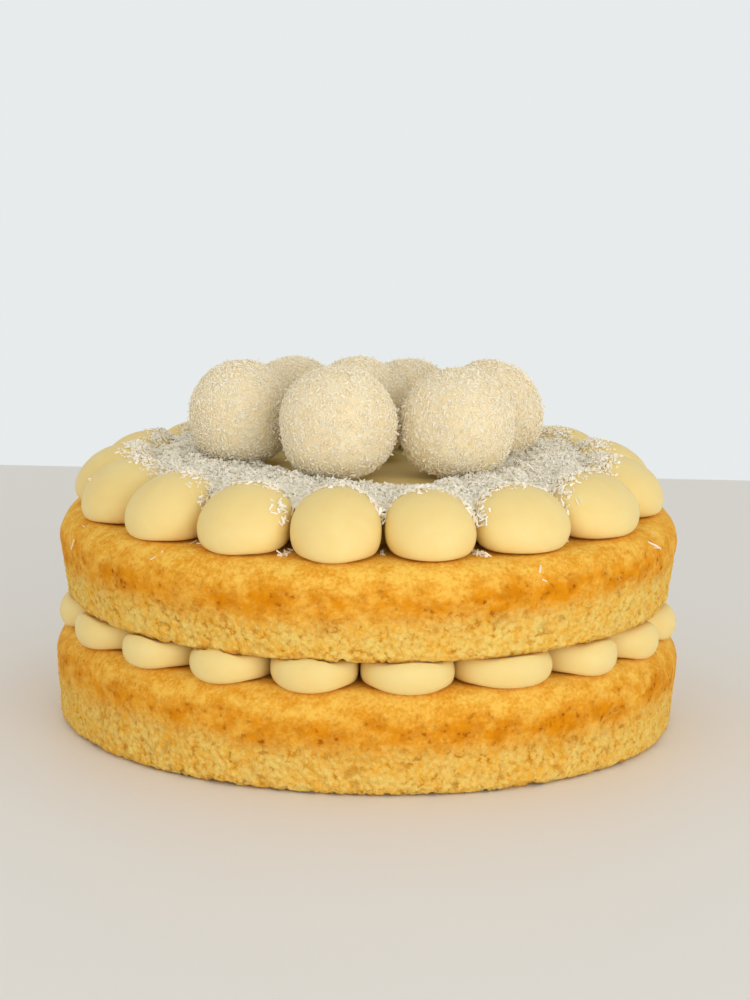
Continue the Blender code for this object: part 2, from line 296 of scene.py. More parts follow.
@dataclass(frozen=True)
class BakedSponge:
    """Baked yellow butter sponge: an open golden crumb, a browned line and a thin tender skin.

    The mesh carries how browned, how open and how deep in a hollow each point is; the hollows and the pores
    are darkened as painted shade.
    """

    crumb: str = "#FEBD42"
    # the paler crumb, reached through the random mottle and grain, and on the raised crumbs as a painted
    # highlight
    crumb_pale_and_highlight: str = "#FFDC7A"
    skin: str = "#EAA128"
    skin_light: str = "#FFCD5C"
    browned: str = "#E5930C"
    deep_brown: str = "#A85606"
    # painted shade in the pores and hollows, not a colour of the crumb itself
    pore_shade: str = "#B06A08"
    mottle_mm: float = 6.5
    grain_mm: float = 1.1
    crumb_mm: float = 1.5
    dot_mm: float = 1.9
    spot_mm: float = 4.0
    flattening: float = 1.5  # how much longer the skin's streaks are than they are high

    def _noise(self, tree, place, size_mm: float, detail: float, roughness: float, low: float, high: float):
        """A noise of this size, stretched so that it runs from 0 at low to 1 at high."""
        raw = add_node(
            tree,
            "TexNoise",
            {},
            {"Vector": place, "Scale": 1 / (size_mm * MM), "Detail": detail, "Roughness": roughness},
        ).outputs["Fac"]
        return add_node(tree, "MapRange", {}, {0: raw, 1: low, 2: high}).outputs[0]

    def _cells(self, tree, place, size_mm: float):
        """Ragged cells of this size: how far from its cell's middle each point is, and the cell's number."""
        shake = add_node(tree, "TexNoise", {}, {"Vector": place, "Scale": 2 / (size_mm * MM)}).outputs[1]
        ragged = add_node(
            tree,
            "VectorMath",
            {"operation": "MULTIPLY_ADD"},
            {0: shake, 1: (size_mm * MM,) * 3, 2: place},
        ).outputs[0]
        return add_node(tree, "TexVoronoi", {}, {"Vector": ragged, "Scale": 1 / (size_mm * MM)}).outputs

    def material(self) -> bpy.types.Material:
        """Build the material."""
        material, tree = new_material("baked butter sponge")
        place = add_node(tree, "TexCoord", {}).outputs["Object"]
        flat = add_node(
            tree, "VectorMath", {"operation": "MULTIPLY"}, {0: place, 1: (1.0, 1.0, self.flattening)}
        ).outputs[0]
        browned = add_node(tree, "Attribute", {"attribute_name": "browned"}).outputs["Fac"]
        openness = add_node(tree, "Attribute", {"attribute_name": "openness"}).outputs["Fac"]
        hollow = add_node(tree, "Attribute", {"attribute_name": "hollow"}).outputs["Fac"]
        # broad clouds, where the crumb is paler or more golden
        mottle = self._noise(tree, place, self.mottle_mm, 4.0, 0.62, 0.35, 0.65)
        # the smeared streaks that a peeled-off lining leaves in the skin
        streaks = self._noise(tree, flat, self.mottle_mm, 5.0, 0.66, 0.36, 0.64)
        # grains of crumb
        grain = self._noise(tree, place, self.grain_mm, 4.0, 0.68, 0.34, 0.66)
        # crumbs, with pores where they part, in patches; the pores are darkened in the colour as painted
        # shade and sunk in the bump
        crumbs = self._cells(tree, place, self.crumb_mm)["Distance"]
        pores = add_node(tree, "MapRange", {}, {0: crumbs, 1: 0.66, 2: 0.84}).outputs[0]
        patches = self._noise(tree, flat, self.mottle_mm * 0.8, 3.0, 0.6, 0.40, 0.58)
        porous = add_node(tree, "MapRange", {}, {0: openness, 3: 0.12, 4: 1.0}).outputs[0]
        pores = add_node(tree, "Math", {"operation": "MULTIPLY"}, {0: pores, 1: patches}).outputs[0]
        pores = add_node(tree, "Math", {"operation": "MULTIPLY"}, {0: pores, 1: porous}).outputs[0]
        # darker dots, thick in the scorched spots along the browned line and rare in the skin
        spots = self._noise(tree, place, self.spot_mm, 3.0, 0.6, 0.42, 0.62)
        dots = self._cells(tree, place, self.dot_mm)
        dotted = add_node(tree, "MapRange", {}, {0: dots["Distance"], 1: 0.50, 2: 0.25}).outputs[0]
        chosen = add_node(tree, "MapRange", {}, {0: dots["Color"], 1: 0.35, 2: 0.45}).outputs[0]
        dotted = add_node(tree, "Math", {"operation": "MULTIPLY"}, {0: dotted, 1: chosen}).outputs[0]

        # the crumb is paler with the random mottle and grain, and paler on the raised crumbs as a painted
        # highlight that follows the bump
        raised = add_node(tree, "MapRange", {}, {0: crumbs, 1: 0.7, 2: 0.15}).outputs[0]
        light = add_node(tree, "Math", {"operation": "ADD"}, {0: mottle, 1: grain}).outputs[0]
        light = add_node(tree, "Math", {"operation": "ADD"}, {0: light, 1: raised}).outputs[0]
        light = add_node(tree, "MapRange", {}, {0: light, 1: 0.6, 2: 2.1}).outputs[0]
        crumb = add_node(
            tree,
            "Mix",
            {"data_type": "RGBA"},
            {MIX_FACTOR: light, MIX_A: linear(self.crumb), MIX_B: linear(self.crumb_pale_and_highlight)},
        ).outputs[MIX_COLOR]
        tone = add_node(tree, "Math", {"operation": "ADD"}, {0: streaks, 1: grain}).outputs[0]
        tone = add_node(tree, "MapRange", {}, {0: tone, 1: 0.4, 2: 1.5}).outputs[0]
        skin = add_node(
            tree,
            "Mix",
            {"data_type": "RGBA"},
            {MIX_FACTOR: tone, MIX_A: linear(self.skin), MIX_B: linear(self.skin_light)},
        ).outputs[MIX_COLOR]
        body = add_node(
            tree, "Mix", {"data_type": "RGBA"}, {MIX_FACTOR: openness, MIX_A: skin, MIX_B: crumb}
        ).outputs[MIX_COLOR]
        uneven = add_node(tree, "MapRange", {}, {0: streaks, 3: 1.25, 4: 0.55}).outputs[0]
        brown = add_node(
            tree, "Math", {"operation": "MULTIPLY", "use_clamp": True}, {0: browned, 1: uneven}
        ).outputs[0]
        body = add_node(
            tree,
            "Mix",
            {"data_type": "RGBA"},
            {MIX_FACTOR: brown, MIX_A: body, MIX_B: linear(self.browned)},
        ).outputs[MIX_COLOR]
        scorched = add_node(tree, "MapRange", {}, {0: brown, 1: 0.1, 2: 0.8, 3: 0.10, 4: 1.0}).outputs[0]
        scorched = add_node(tree, "Math", {"operation": "MULTIPLY"}, {0: scorched, 1: spots}).outputs[0]
        dotted = add_node(tree, "MapRange", {}, {0: dotted, 3: 0.3, 4: 1.0}).outputs[0]
        scorched = add_node(tree, "Math", {"operation": "MULTIPLY"}, {0: scorched, 1: dotted}).outputs[0]
        body = add_node(
            tree,
            "Mix",
            {"data_type": "RGBA"},
            {MIX_FACTOR: scorched, MIX_A: body, MIX_B: linear(self.deep_brown)},
        ).outputs[MIX_COLOR]
        # painted shade: the carved hollows and the pores are darkened towards the dark brown pore colour,
        # where light does not reach
        sunk = add_node(tree, "MapRange", {}, {0: hollow, 3: 0.0, 4: 0.6}).outputs[0]
        painted_shade = add_node(tree, "Math", {"operation": "MAXIMUM"}, {0: pores, 1: sunk}).outputs[0]
        painted_shade = add_node(tree, "MapRange", {}, {0: painted_shade, 3: 0.0, 4: 0.58}).outputs[0]
        body = add_node(
            tree,
            "Mix",
            {"data_type": "RGBA"},
            {MIX_FACTOR: painted_shade, MIX_A: body, MIX_B: linear(self.pore_shade)},
        ).outputs[MIX_COLOR]

        height = add_node(tree, "Math", {"operation": "ADD"}, {0: grain, 1: raised}).outputs[0]
        height = add_node(tree, "Math", {"operation": "SUBTRACT"}, {0: height, 1: pores}).outputs[0]
        strength = add_node(tree, "MapRange", {}, {0: openness, 3: 0.25, 4: 0.7}).outputs[0]
        bump = add_node(
            tree, "Bump", {}, {"Strength": strength, "Distance": 0.4 * MM, "Height": height}
        ).outputs[0]
        shader = add_node(
            tree,
            "BsdfPrincipled",
            {},
            {
                "Base Color": body,
                "Roughness": 0.75,
                "Normal": bump,
                "IOR": 1.42,
                "Specular IOR Level": 0.08,
                "Subsurface Weight": 0.2,
                "Subsurface Radius": (1.0, 0.5, 0.12),
                "Subsurface Scale": 1.5 * MM,
            },
        )
        add_node(tree, "OutputMaterial", {}, {"Surface": shader.outputs[0]})
        return material


@dataclass(frozen=True)
class ButterFrosting:
    """Whipped butter frosting, piped: smooth, pale yellow, satin, and light passes a little way in."""

    body: str = "#F6E09C"
    warm: str = "#F1D386"
    cloud_mm: float = 9.0
    fine_mm: float = 1.1

    def material(self) -> bpy.types.Material:
        """Build the material."""
        material, tree = new_material("whipped butter frosting")
        place = add_node(tree, "TexCoord", {}).outputs["Object"]
        # the faint streaks of butter that beating leaves
        cloud = add_node(
            tree,
            "TexNoise",
            {},
            {"Vector": place, "Scale": 1 / (self.cloud_mm * MM), "Detail": 2.0, "Distortion": 0.6},
        ).outputs["Fac"]
        color = add_node(
            tree,
            "Mix",
            {"data_type": "RGBA"},
            {MIX_FACTOR: cloud, MIX_A: linear(self.body), MIX_B: linear(self.warm)},
        ).outputs[MIX_COLOR]
        # tiny air bubbles that dull the surface
        fine = add_node(
            tree,
            "TexNoise",
            {},
            {"Vector": place, "Scale": 1 / (self.fine_mm * MM), "Detail": 2.0},
        ).outputs["Fac"]
        rough = add_node(tree, "MapRange", {}, {0: cloud, 3: 0.42, 4: 0.52}).outputs[0]
        bump = add_node(
            tree, "Bump", {}, {"Strength": 0.1, "Distance": 0.1 * MM, "Height": fine}
        ).outputs[0]
        shader = add_node(
            tree,
            "BsdfPrincipled",
            {},
            {
                "Base Color": color,
                "Roughness": rough,
                "Normal": bump,
                "IOR": 1.46,
                "Specular IOR Level": 0.35,
                "Subsurface Weight": 0.5,
                "Subsurface Radius": (1.0, 0.72, 0.3),
                "Subsurface Scale": 5.0 * MM,
            },
        )
        add_node(tree, "OutputMaterial", {}, {"Surface": shader.outputs[0]})
        return material


@dataclass(frozen=True)
class DesiccatedCoconut:
    """Dried shredded coconut: matt off-white flesh, each shred a little whiter or creamier."""

    name: str
    light: str
    cream: str
    glow: float = 0.0  # how much of the light passes through it
    fuzz: float = 0.0  # how much light its loose fibres catch
    grain_mm: float = 0.8
    relief_mm: float = 0.25

    def material(self) -> bpy.types.Material:
        """Build the material."""
        material, tree = new_material(self.name)
        place = add_node(tree, "TexCoord", {}).outputs["Object"]
        tint = add_node(tree, "Attribute", {"attribute_name": "tint"}).outputs["Fac"]
        # the fibres' grain
        grain = add_node(
            tree,
            "TexNoise",
            {},
            {"Vector": place, "Scale": 1 / (self.grain_mm * MM), "Detail": 3.0, "Roughness": 0.65},
        ).outputs["Fac"]
        spread = add_node(tree, "MapRange", {}, {0: grain, 1: 0.3, 2: 0.7, 3: -0.3, 4: 0.3}).outputs[0]
        share = add_node(
            tree, "Math", {"operation": "ADD", "use_clamp": True}, {0: tint, 1: spread}
        ).outputs[0]
        color = add_node(
            tree,
            "Mix",
            {"data_type": "RGBA"},
            {MIX_FACTOR: share, MIX_A: linear(self.light), MIX_B: linear(self.cream)},
        ).outputs[MIX_COLOR]
        bump = add_node(
            tree,
            "Bump",
            {},
            {"Strength": 0.7, "Distance": self.relief_mm * MM, "Height": grain},
        ).outputs[0]
        shader = add_node(
            tree,
            "BsdfPrincipled",
            {},
            {
                "Base Color": color,
                "Normal": bump,
                "IOR": 1.45,
                "Specular IOR Level": 0.25,
                "Roughness": 0.7,
                "Sheen Weight": self.fuzz,
                "Sheen Roughness": 0.5,
                "Sheen Tint": linear("#FFF4DC"),
                "Subsurface Weight": self.glow,
                "Subsurface Radius": (1.0, 0.85, 0.6),
                "Subsurface Scale": 1.5 * MM,
            },
        )
        add_node(tree, "OutputMaterial", {}, {"Surface": shader.outputs[0]})
        return material


# ---------------------------------------------------------------------------------------------
# Sponges
# ---------------------------------------------------------------------------------------------


@dataclass(frozen=True)
class Lean:
    """How what rests on the soft filling leans, in degrees, about a point of the cake's axis."""

    forward: float = 0.0
    left: float = 0.0
    pivot: float = 0.0

    def matrix(self) -> Matrix:
        """The turn from upright to leaning."""
        turn = Euler((math.radians(self.forward), -math.radians(self.left), 0.0)).to_matrix().to_4x4()
        return Matrix.Translation((0, 0, self.pivot)) @ turn @ Matrix.Translation((0, 0, -self.pivot))

    def tip(self, bm: bmesh.types.BMesh) -> None:
        """Lean a shape that was made upright."""
        bmesh.ops.transform(bm, matrix=self.matrix(), verts=bm.verts[:])

    def lift(self, x: float, y: float) -> float:
        """How much higher than upright a leaning level surface is at a place."""
        return x * math.tan(math.radians(self.left)) + y * math.tan(math.radians(self.forward))

    def upright(self, node: str) -> list[Vector]:
        """The points of a leaning CAD node, set upright."""
        back = self.matrix().inverted()
        return [back @ vert.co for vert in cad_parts[node].data.vertices]

    def box(self, node: str) -> tuple[Vector, Vector]:
        """The lowest and the highest corner of a leaning CAD node, set upright."""
        points = self.upright(node)
        low, high = ([pick(p[i] for p in points) for i in range(3)] for pick in (min, max))
        return Vector(low), Vector(high)


@dataclass(frozen=True)
class Stretch:
    """How the browned line runs at one angle: its height over the sponge's foot and its strength."""

    angle: float
    height: float
    strength: float


@dataclass
class Sponge:
    """A baked layer, fitted to its CAD node, with an open crumb below and a skin above."""

    node: str
    foot_radius: float
    browning: tuple[Stretch, ...]
    seed: float
    lean: Lean = Lean()
    shoulder_reach: float = 0.009
    shoulder_drop: float = 0.0095
    foot_rounding: float = 0.0025
    spacing: float = 0.00056
    steps: int = 940
    bottom: float = field(init=False)
    top: float = field(init=False)
    radius: float = field(init=False)
    line: RoundTable = field(init=False)
    strength: RoundTable = field(init=False)

    def __post_init__(self) -> None:
        """Take the height and the greatest radius from the CAD node."""
        low, high = self.lean.box(self.node)
        self.bottom, self.top, self.radius = low.z, high.z, high.x
        turns = [stretch.angle for stretch in self.browning]
        self.line = RoundTable(turns, [stretch.height for stretch in self.browning])
        self.strength = RoundTable(turns, [stretch.strength for stretch in self.browning])

    def top_at(self, x: float, y: float) -> float:
        """Height of the upper side at a place, before the layer leans."""
        past = max(0.0, math.hypot(x, y) - (self.radius - self.shoulder_reach)) / self.shoulder_reach
        return self.top - self.shoulder_drop * (1 - math.sqrt(max(0.0, 1 - past * past)))

    def underside_at(self, x: float, y: float) -> float:
        """Height of the leaning layer's underside at a place, rising past the foot."""
        past = max(0.0, math.hypot(x, y) - (self.foot_radius - self.foot_rounding)) / self.foot_rounding
        rise = self.foot_rounding * (1 - math.sqrt(max(0.0, 1 - min(past, 1.0) ** 2)))
        return self.bottom + rise + self.lean.lift(x, y)

    def _profile(self) -> list[tuple[float, float]]:
        """The outline from the top's middle round to the underside's."""
        inner = self.radius - self.shoulder_reach
        rim = [
            (inner + self.shoulder_reach * math.sin(t), self.top - self.shoulder_drop * (1 - math.cos(t)))
            for t in np.linspace(0.0, math.pi / 2, 24)
        ]
        foot_inner = self.foot_radius - self.foot_rounding
        foot = [
            (
                foot_inner + self.foot_rounding * math.cos(t),
                self.bottom + self.foot_rounding * (1 - math.sin(t)),
            )
            for t in np.linspace(0.0, math.pi / 2, 8)
        ]
        seen = resampled([(inner - 0.006, self.top)] + rim + foot, self.spacing)
        across = [(0.0, self.top), (inner * 0.5, self.top), (inner * 0.8, self.top)]
        return across + seen + [(foot_inner * 0.6, self.bottom), (0.0, self.bottom)]

    def _carve(self, bm: bmesh.types.BMesh) -> None:
        """Give the body its crumb, its hollows and its browned line."""
        browned = bm.verts.layers.float.new("browned")
        openness = bm.verts.layers.float.new("openness")
        hollow = bm.verts.layers.float.new("hollow")
        offset = Vector((self.seed, self.seed * 0.7, 0.0))
        height = self.top - self.bottom
        for vert in bm.verts:
            place = vert.co + offset
            rise = vert.co.z - self.bottom
            if math.hypot(vert.co.x, vert.co.y) < self.radius - self.shoulder_reach - 0.008:
                continue
            angle = angle_of(vert.co.x, vert.co.y)
            sway = noise.noise(place / 0.030) * 1.4 * MM + noise.noise(place / 0.007) * 1.2 * MM
            over = rise - self.line.at(angle) - sway
            width = (5.0 if over > 0 else 5.5) * MM
            patch = noise.noise(place / 0.011)
            vert[browned] = self.strength.at(angle) * (0.95 + 0.6 * patch) * math.exp(-((over / width) ** 2))
            is_open = 1 - smooth_step(over, -7.5 * MM, -0.5 * MM)
            vert[openness] = is_open
            cluster = smooth_step(noise.noise(place / 0.008), -0.3, 0.4)
            coarse = cluster * smooth_step(noise.fractal(place / 0.0030, 0.9, 2.1, 3), 0.26, 0.62)
            fine = smooth_step(noise.fractal(place / 0.0015, 0.9, 2.1, 2), 0.30, 0.62)
            # hollow marks how deep each point lies in a carved pit; the material darkens these pits as
            # painted shade
            vert[hollow] = is_open * max(coarse, fine * 0.4)
            lumps = noise.fractal(place / 0.0021, 0.7, 2.1, 3)
            crumb = (0.45 * lumps - 0.9 * coarse - 0.45 * fine) * MM
            torn = 1 - smooth_step(rise, 0.2 * MM, 3.0 * MM)
            crumbly = noise.fractal(place / 0.0020, 0.8, 2.0, 2) * 0.9 + noise.noise(place / 0.0055) * 0.7
            bite = torn * max(-0.6, crumbly) * 1.1 * MM
            push = noise.noise(place / 0.022) * 0.5 * MM - 0.6 * MM + bite
            push += is_open * crumb + (1 - is_open) * 0.12 * lumps * MM
            if rise > 0.5 * height:
                vert.co += Vector((vert.normal.x, vert.normal.y, vert.normal.z * 0.5)) * push
            else:
                vert.co += polar(push, angle, torn * max(0.0, crumbly) * 1.8 * MM)
        self._contain(bm)

    def _contain(self, bm: bmesh.types.BMesh) -> None:
        """Keep every point within the sponge's own radius and height."""
        for vert in bm.verts:
            radius = math.hypot(vert.co.x, vert.co.y)
            if radius > self.radius:
                vert.co.x *= self.radius / radius
                vert.co.y *= self.radius / radius
            vert.co.z = max(self.bottom, vert.co.z)

    def build(self, material: bpy.types.Material) -> bpy.types.Object:
        """Build the piece in place of its CAD node."""
        bm = spun(self._profile(), self.steps)
        self._carve(bm)
        self.lean.tip(bm)
        return finished(f"{self.node}_crumb", bm, material, [self.node])


# ---------------------------------------------------------------------------------------------
# Frosting
# ---------------------------------------------------------------------------------------------


@dataclass
class PipedRing:
    """A ring of piped rounds, each fitted between the neighbours that its CAD node has."""

    prefix: str
    count: int
    circle_radius: float
    reach: float
    middle: float
    rise: float
    floor: Callable[[float, float], float]
    ceiling: Optional[Callable[[float, float], float]] = None
    inner_radius: float = 0.0
    lean: Lean = Lean()
    overlap: float = 1.08
    droop: float = 0.0
    plumpness: float = 2.0
    softness: float = 0.0010
    meeting: float = 0.0008  # how far each reaches into the gap that the CAD rounds leave
    segments: int = 44
    rings: int = 30

    def _size(self, points: list[Vector]) -> float:
        """Size of the round with these CAD points as a share of the usual."""
        if self.ceiling:
            return (max(math.hypot(p.x, p.y) for p in points) - self.circle_radius) / self.reach
        return (max(p.z for p in points) - self.middle) / self.rise

    def _shape(self, bm: bmesh.types.BMesh, points: list[Vector], seed: float) -> None:
        """Press a ball into a round's place.

        Args:
            bm: A ball of radius one.
            points: The points of the round's CAD node, set upright.
            seed: What makes its unevenness its own.
        """
        centre = math.atan2(sum(p.x for p in points), -sum(p.y for p in points))
        turned = [math.remainder(math.atan2(p.x, -p.y) - centre, math.tau) for p in points]
        centre += (min(turned) + max(turned)) / 2
        half = (max(turned) - min(turned)) / 2
        half_width = self.circle_radius * math.sin(half) * self.overlap
        size = self._size(points)
        for vert in bm.verts:
            sway = 1 + 0.022 * noise.noise(vert.co * 1.3 + Vector((seed, 0.0, 0.0)))
            sway *= sum(abs(part) ** self.plumpness for part in vert.co) ** (-1 / self.plumpness)
            above = vert.co.z * self.rise * size * sway
            out = self.circle_radius + vert.co.x * self.reach * size * sway - self.droop * above
            side = vert.co.y * half_width * sway
            height = self.middle + above
            soft_turn = self.softness * 1.3 / self.circle_radius
            turn = math.atan2(side, out)
            most = half + self.meeting / self.circle_radius
            turn = math.copysign(soft_least(abs(turn), most, soft_turn), turn)
            radius = soft_most(math.hypot(out, side), self.inner_radius, self.softness)
            place = polar(radius, math.degrees(turn + centre), height)
            place.z = soft_most(place.z, self.floor(place.x, place.y), self.softness)
            if self.ceiling:
                place.z = soft_least(place.z, self.ceiling(place.x, place.y), self.softness)
            vert.co = place

    def build(self, material: bpy.types.Material) -> list[bpy.types.Object]:
        """Build every round in place of its CAD node."""
        made = []
        for number in range(1, self.count + 1):
            node = f"{self.prefix}_{number:02d}"
            bm = bmesh.new()
            bmesh.ops.create_uvsphere(bm, u_segments=self.segments, v_segments=self.rings, radius=1.0)
            self._shape(bm, self.lean.upright(node), number * 3.7)
            self.lean.tip(bm)
            made.append(finished(f"{node}_piped", bm, material, [node]))
        return made


@dataclass
class SpreadFrosting:
    """The frosting spread inside the ring of rounds, swept by a knife and never quite flat."""

    lean: Lean
    node: str = "top_frosting"
    edge_rounding: float = 0.003
    unevenness: float = 0.0006
    sweep: float = 0.014
    steps: int = 200
    top: float = field(init=False)

    def __post_init__(self) -> None:
        """Take the height from the CAD node."""
        self.top = self.lean.box(self.node)[1].z

    def build(self, material: bpy.types.Material) -> bpy.types.Object:
        """Build the piece in place of its CAD node."""
        low, high = self.lean.box(self.node)
        radius, bottom = high.x, low.z
        across = [(radius * share, self.top) for share in np.linspace(0.0, 1.0, 48)[:-3]]
        edge = [
            (
                radius - self.edge_rounding * (1 - math.sin(t)),
                self.top - self.edge_rounding * (1 - math.cos(t)),
            )
            for t in np.linspace(0.0, math.pi / 2, 6)
        ]
        bm = spun(across + edge + [(radius, bottom), (0.0, bottom)], self.steps)
        for vert in bm.verts:
            if vert.co.z > self.top - self.edge_rounding:
                lift = noise.noise(vert.co / self.sweep) - 0.5
                vert.co.z += self.unevenness * lift
        self.lean.tip(bm)
        return finished("top_frosting_spread", bm, material, [self.node])


# ---------------------------------------------------------------------------------------------
# Coconut
# ---------------------------------------------------------------------------------------------


class Shreds:
    """Many shreds of coconut, gathered one by one and joined in one mesh."""

    def __init__(self, sides: int, taper: float, seed: int) -> None:
        """Start with none.

        Args:
            sides: How many sides a shred's section has.
            taper: The thin end's width as a share of the thick end's.
            seed: What makes this lot its own.
        """
        bm = bmesh.new()
        bmesh.ops.create_cone(
            bm, cap_ends=True, segments=sides, radius1=0.5, radius2=0.5 * taper, depth=1.0
        )
        self.points = np.array([v.co[:] for v in bm.verts])
        self.faces = [[v.index for v in f.verts] for f in bm.faces]
        bm.free()
        self.chance = random.Random(seed)
        self.frames: list[np.ndarray] = []
        self.places: list[np.ndarray] = []
        self.tints: list[float] = []

    def lay(self, place: Vector, normal: Vector, tilt: float, size: tuple[float, float, float]) -> None:
        """Lay one shred on a surface, turned at random.

        Args:
            place: Its middle.
            normal: The surface's direction.
            tilt: How far it may stand up from the surface, in degrees.
            size: Its width, thickness and length.
        """
        turn = self.chance.uniform(0, math.tau)
        lean = math.radians(self.chance.uniform(-tilt, tilt))
        across = normal.orthogonal().normalized()
        flat = across * math.cos(turn) + normal.cross(across) * math.sin(turn)
        along = flat * math.cos(lean) + normal * math.sin(lean)
        side = normal.cross(flat)
        up = along.cross(side)
        spin = self.chance.uniform(0, math.tau)
        wide, thick, long = size
        self.frames.append(
            np.array(
                [
                    (side * math.cos(spin) + up * math.sin(spin)) * wide,
                    (up * math.cos(spin) - side * math.sin(spin)) * thick,
                    along * long,
                ]
            )
        )
        self.places.append(np.array(place))
        self.tints.append(self.chance.random())

    def __len__(self) -> int:
        """How many shreds there are."""
        return len(self.places)

    def mesh(self, name: str, ceiling: float) -> bpy.types.Mesh:
        """Join the shreds.

        Args:
            name: The mesh's name.
            ceiling: The height that none passes.

        Returns:
            The mesh, with each shred's tint as an attribute.
        """
        count, corners = len(self.places), len(self.points)
        verts = np.einsum("pi,kij->kpj", self.points, np.array(self.frames))
        verts += np.array(self.places)[:, None, :]
        verts[:, :, 2] = np.minimum(verts[:, :, 2], ceiling)
        faces = [[start * corners + i for i in face] for start in range(count) for face in self.faces]
        mesh = bpy.data.meshes.new(name)
        mesh.from_pydata(verts.reshape(-1, 3).tolist(), [], faces)
        tint = mesh.attributes.new("tint", "FLOAT", "POINT")
        tint.data.foreach_set("value", np.repeat(np.array(self.tints, np.float32), corners))
        return mesh


@dataclass
class CoconutBall:
    """A soft ball rolled in fine coconut, fitted to its CAD node."""

    node: str
    coat: float = 0.0001
    shreds: int = 6900
    strays: int = 420
    fullness: float = 2.5  # how far the lower half has settled from round (2) towards square
    headroom: float = 0.0006  # how far under the cake's top the highest shreds lie
    centre: Vector = field(init=False)
    half: Vector = field(init=False)

    def __post_init__(self) -> None:
        """Take the place and the size from the CAD node."""
        low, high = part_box(self.node)
        self.centre = (low + high) / 2
        self.half = (high - low) / 2

    def _at(self, way: Vector, depth: float) -> Vector:
        """The point in this direction from the middle, so far under the outline."""
        fullness = self.fullness if way.z < 0 else 2.0
        swell = (math.hypot(way.x, way.y) ** fullness + abs(way.z) ** fullness) ** (-1 / fullness)
        return self.centre + Vector(a * (b * swell - depth) for a, b in zip(way, self.half))

    def _softness(self, way: Vector) -> float:
        """How far hand rolling has left the ball fuller or flatter in a direction."""
        return 0.7 * MM * (noise.noise(self._at(way, 0.0) / 0.014) - 0.2)

    def floor_at(self, x: float, y: float) -> float:
        """Height of the ball's underside over a place, or infinity where the place lies clear."""
        share = ((x - self.centre.x) / self.half.x) ** 2 + ((y - self.centre.y) / self.half.y) ** 2
        return self.centre.z - self.half.z * math.sqrt(1 - share) if share < 1 else math.inf

    def build_core(self, material: bpy.types.Material) -> bpy.types.Object:
        """Build the ball itself, grainy with the coconut that is pressed into it."""
        bm = bmesh.new()
        bmesh.ops.create_icosphere(bm, subdivisions=5, radius=1.0)
        tint = bm.verts.layers.float.new("tint")
        for vert in bm.verts:
            way = vert.co.copy()
            place = self._at(way, 0.0)
            grain = noise.fractal(place / 0.0011, 0.7, 2.2, 3) * 0.3 * MM
            vert.co = self._at(way, self.coat + 0.1 * MM - grain - self._softness(way))
            vert.co.z = min(vert.co.z, CAD_BOX[1].z - self.headroom)
            vert[tint] = 0.5 + 0.5 * noise.noise(place / 0.006)
        return finished(f"{self.node}_core", bm, material, [self.node])

    def coat_with(self, shreds: Shreds, floor: float) -> None:
        """Press shreds into the ball's surface.

        Args:
            shreds: The lot that takes them.
            floor: The height below which the ball is sunk in frosting.
        """
        chance = shreds.chance
        for number in range(self.shreds):
            height = 1 - 2 * (number + 0.5) / self.shreds
            turn = number * math.pi * (3 - math.sqrt(5)) + chance.uniform(-0.4, 0.4)
            ring = math.sqrt(1 - height * height)
            way = Vector((ring * math.cos(turn), ring * math.sin(turn), height))
            stray = number % max(1, self.shreds // self.strays) == 0
            lift = chance.uniform(0.2, 0.8) if stray else chance.uniform(0.0, 0.2)
            depth = self.coat - self._softness(way) - lift * MM
            place = self._at(way, depth)
            place.z = min(place.z, CAD_BOX[1].z - self.headroom)
            if place.z < floor:
                continue
            size = (
                chance.uniform(0.35, 0.7) * MM,
                chance.uniform(0.25, 0.45) * MM,
                chance.uniform(0.9, 2.1) * MM,
            )
            shreds.lay(place, way, 70 if stray else 24, size)


@dataclass(frozen=True)
class Bank:
    """How the coconut is strewn at one angle: from where to where, and how thickly."""

    angle: float
    inner: float
    outer: float
    thickness: float


@dataclass(frozen=True)
class Spill:
    """A place where coconut has slid out over the rounds or fallen on the sponge."""

    angle: float
    radius: float
    spread: float
    count: int
    length: float = 2.0 * MM


class Ground:
    """What strewn things land on: the highest surface below a point."""

    def __init__(self, pieces: Iterable[bpy.types.Object]) -> None:
        """Gather the pieces' faces.

        Args:
            pieces: What things can land on.
        """
        graph = bpy.context.evaluated_depsgraph_get()
        self.trees = [BVHTree.FromObject(piece, graph) for piece in pieces]

    def below(self, point: Vector) -> Optional[tuple[Vector, Vector]]:
        """Where something that falls from a point lands.

        Args:
            point: Where it falls from.

        Returns:
            The highest place met and the surface's direction there, or None.
        """
        best = None
        for tree in self.trees:
            place, normal, _, _ = tree.ray_cast(point, Vector((0.0, 0.0, -1.0)))
            if place and (best is None or place.z > best[0].z):
                best = (place, normal)
        return best


